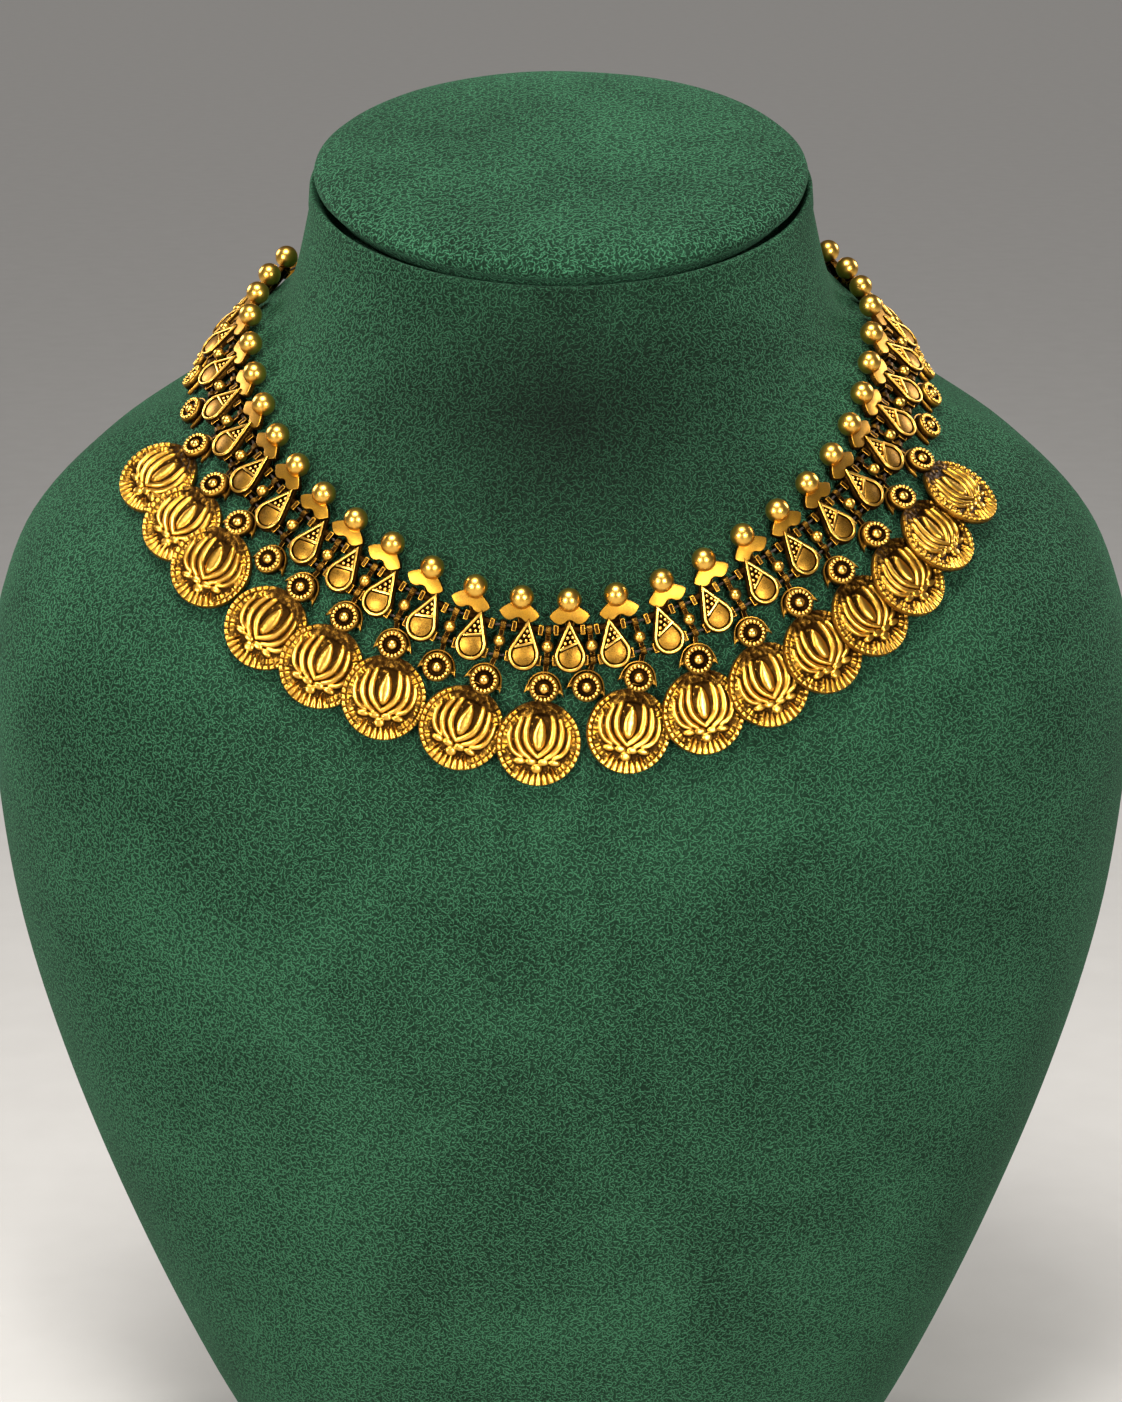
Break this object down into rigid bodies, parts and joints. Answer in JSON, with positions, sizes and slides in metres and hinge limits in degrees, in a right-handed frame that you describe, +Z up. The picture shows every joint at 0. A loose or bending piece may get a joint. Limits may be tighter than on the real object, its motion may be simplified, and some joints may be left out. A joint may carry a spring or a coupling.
{
  "type": "temple necklace on a neck bust",
  "caption": "Antique-gold collar of teardrop links, ball beads and lotus coin drops on two threads, with a ring chain and clasp, on a green suede neck bust with a flat base.",
  "frame": {"origin": "middle of the bust's flat base, on its underside", "axes": "+Z up, the chest with the coins faces -Y, +X is the bust's left arm, on the right in the picture"},
  "size_m": [0.234, 0.1396, 0.3004],
  "materials": {
    "bust_suede": "short-napped green suede cloth over a moulded shell",
    "cap_suede": "the same cloth over a thin pad",
    "link_gold": "antique gold plate, satin with dark recesses, the balls polished",
    "coin_gold": "antique gold plate, polished relief over dark recesses",
    "chain_gold": "antique gold plate",
    "cotton_thread": "dark twisted cotton"
  },
  "bodies": {
    "root": {"bust_body": "bust_suede", "bust_cap": "cap_suede", "link_01": "link_gold", "link_02": "link_gold", "link_03": "link_gold", "link_04": "link_gold", "link_05": "link_gold", "link_06": "link_gold", "link_07": "link_gold", "link_08": "link_gold", "link_09": "link_gold", "link_10": "link_gold", "link_11": "link_gold", "link_12": "link_gold", "link_13": "link_gold", "link_14": "link_gold", "link_15": "link_gold", "link_16": "link_gold", "link_17": "link_gold", "link_18": "link_gold", "link_19": "link_gold", "link_20": "link_gold", "link_21": "link_gold", "link_22": "link_gold", "link_23": "link_gold", "link_24": "link_gold", "link_25": "link_gold", "link_26": "link_gold", "link_27": "link_gold", "link_28": "link_gold", "link_29": "link_gold", "link_30": "link_gold", "link_31": "link_gold", "coin_drop_01": "coin_gold", "coin_drop_02": "coin_gold", "coin_drop_03": "coin_gold", "coin_drop_04": "coin_gold", "coin_drop_05": "coin_gold", "coin_drop_06": "coin_gold", "coin_drop_07": "coin_gold", "coin_drop_08": "coin_gold", "coin_drop_09": "coin_gold", "coin_drop_10": "coin_gold", "coin_drop_11": "coin_gold", "coin_drop_12": "coin_gold", "coin_drop_13": "coin_gold", "coin_drop_14": "coin_gold", "coin_drop_15": "coin_gold", "coin_drop_16": "coin_gold", "rosette_drops": "coin_gold", "thread_upper": "cotton_thread", "thread_lower": "cotton_thread", "end_bar_left": "link_gold", "end_bar_right": "link_gold", "chain_left": "chain_gold", "chain_right": "chain_gold", "clasp": "chain_gold"}
  },
  "joints": []
}
